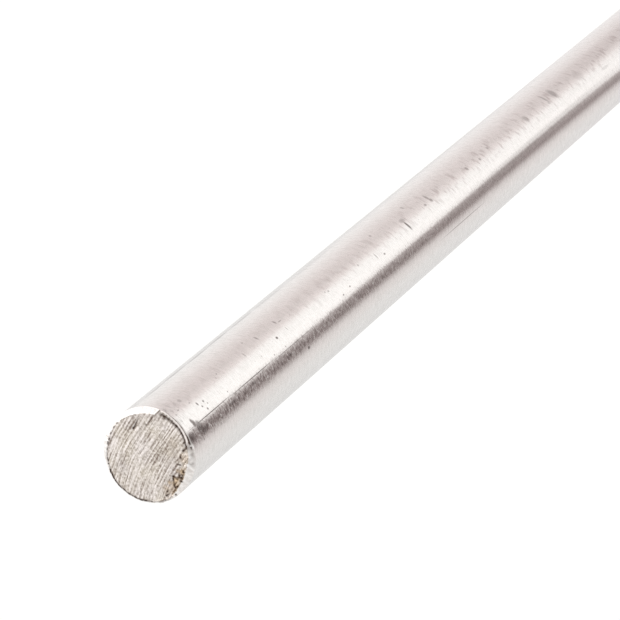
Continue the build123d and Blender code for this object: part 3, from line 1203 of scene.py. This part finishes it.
# %% Boards round the foot
BOARDS = (  # direction in degrees, brightness, and how warm (0 is neutral)
    (-180, 1.00, 0.0),
    (-165.5, 1.00, 0.3),
    (-153, 0.95, 0.4),
    (-144.5, 0.84, 0.5),
    (-139, 0.69, 0.8),
    (-133.5, 0.51, 1.2),
    (-128.5, 0.29, 1.8),
    (-122.5, 0.33, 1.6),
    (-115, 0.44, 1.2),
    (-111, 0.52, 1.0),
    (-108.5, 0.66, 0.8),
    (-106.0, 1.05, 0.4),
    (-103.5, 1.30, 0.2),
    (-100.0, 1.38, 0.1),
    (-70, 1.42, 0.0),
    (-60, 1.25, 0.3),
    (-53, 1.08, 0.7),
    (-41.5, 0.93, 0.7),
    (-27, 0.93, 0.8),
    (-6, 1.05, 0.5),
    (17, 1.15, 0.2),
    (38, 1.12, 0.0),
    (45, 0.92, 0.0),
    (52, 0.84, 0.0),
    (60, 1.08, 0.0),
    (75, 1.24, 0.0),
    (105, 0.91, 0.0),
    (125, 0.90, 0.0),
    (145, 0.93, 0.0),
    (161, 1.00, 0.0),
)
WARMTH = (0, 0.10, 0.105)  # how much a warm board lacks of red, green and blue
round_about = add(tree, "TexGradient", {"Vector": from_centre}, gradient_type="RADIAL")
ramp = add(tree, "ValToRGB", {"Fac": round_about.outputs["Fac"]})
stops = ramp.color_ramp.elements
while len(stops) < len(BOARDS) + 1:
    stops.new(0.5)
for stop, (degrees, shine, warm) in zip(stops, BOARDS + ((180,) + BOARDS[0][1:],)):
    stop.position = (degrees + 180) / 360
    stop.color = [shine / BRIGHTEST * (1 - warm * cut) for cut in WARMTH] + [1]
# the light room shines in between the boards and the foot, and evens them out there
from_foot = add(tree, "VectorMath", {0: place}, operation="LENGTH")
evened = {"From Min": 0.04, "From Max": 0.13, "To Min": 0.23, "To Max": 0.0}
evened = add(tree, "MapRange", {"Value": from_foot, **evened})
plain = [shine / BRIGHTEST for shine in (0.93, 0.86, 0.87)] + [1]
shown = add(tree, "Mix", {"Factor": evened, "A": ramp, "B": plain}, data_type="RGBA")
# no board is quite even, and its faint shades are drawn out into lines along the bar
bearing = add(tree, "VectorMath", {0: from_centre}, operation="NORMALIZE")
shades = add(tree, "TexNoise", {"Vector": bearing, "Scale": 8.0, "Detail": 2.0})
strength = {"To Min": 0.965 * BRIGHTEST, "To Max": 1.035 * BRIGHTEST}
strength = add(tree, "MapRange", {"Value": shades, **MIDDLE, **strength})
glow = add(tree, "Emission", {"Color": shown, "Strength": strength})
add(tree, "OutputMaterial", {"Surface": glow})
darkest = min(BOARDS, key=lambda board: board[1])
print(f"{len(BOARDS)} shades, the darkest towards {darkest[0]} degrees")

# %% [markdown]
# The room is white. It lights the bar a little less strongly than it shows, and one large softbox
# from the side adds the rest, so that the bar gets a soft shadow.

# %% The white room
world = bpy.data.worlds.new("white room")
bpy.context.scene.world = world
world.use_nodes = True
tree = world.node_tree
tree.nodes.clear()
strength = add(tree, "MapRange", {"Value": seen_rays(tree), "To Min": 0.85, "To Max": 1.0})
sky = add(tree, "Background", {"Color": (1, 1, 1, 1), "Strength": strength})
add(tree, "OutputWorld", {"Surface": sky})
print("the room's nodes:", len(tree.nodes))


# %% Softbox
def softbox(name, bearing, elevation, distance, size, radiance):
    """A square lamp that faces the top of the bar, from degrees round it and above the floor."""
    lamp = bpy.data.lights.new(name, "AREA")
    lamp.shape, lamp.size = "SQUARE", size
    lamp.energy = radiance * math.pi * size**2
    holder = bpy.data.objects.new(name, lamp)
    b, e = math.radians(bearing), math.radians(elevation)
    away = Vector((math.cos(b) * math.cos(e), math.sin(b) * math.cos(e), math.sin(e)))
    holder.location = CUT_CENTRE + away * distance
    holder.rotation_euler = away.to_track_quat("Z", "Y").to_euler()
    holder.visible_camera = False
    bpy.context.scene.collection.objects.link(holder)
    return holder


key = softbox("softbox", bearing=15, elevation=32, distance=1.5, size=1.9, radiance=0.55)
print(f"softbox of {key.data.energy:.1f} W at", [round(c, 2) for c in key.location])

# %% [markdown]
# ## Camera
#
# The camera looks down on the sawn end from the front, at 29 degrees to the bar, with a long lens
# from half a metre, and it is turned on its own axis so that the bar runs up to the right.

# %% Camera
STAND = Vector((0, -19.931, 36.219))  # from the centre of the cut, in diameters of the bar
LOOKING = Vector((0.00152, 0.43508, -0.90039)).normalized()
ROLL = math.radians(-130.18)
lens = bpy.data.cameras.new("camera")
lens.sensor_width, lens.lens = 36, 238.06  # mm
lens.clip_start, lens.clip_end = 0.01, 20
camera = bpy.data.objects.new("camera", lens)
bpy.context.scene.collection.objects.link(camera)
bpy.context.scene.camera = camera
camera.location = CUT_CENTRE + STAND * 2 * RADIUS
camera.rotation_mode = "QUATERNION"
level = LOOKING.to_track_quat("-Z", "Y")
camera.rotation_quaternion = level @ Matrix.Rotation(ROLL, 4, "Z").to_quaternion()
print("camera at", [round(c, 3) for c in camera.location])

# %% [markdown]
# ## Finish
#
# Colours are shown as they were written, without a film look.

# %% Colour as written
bpy.context.scene.view_settings.view_transform = "Standard"
print("view transform:", bpy.context.scene.view_settings.view_transform)
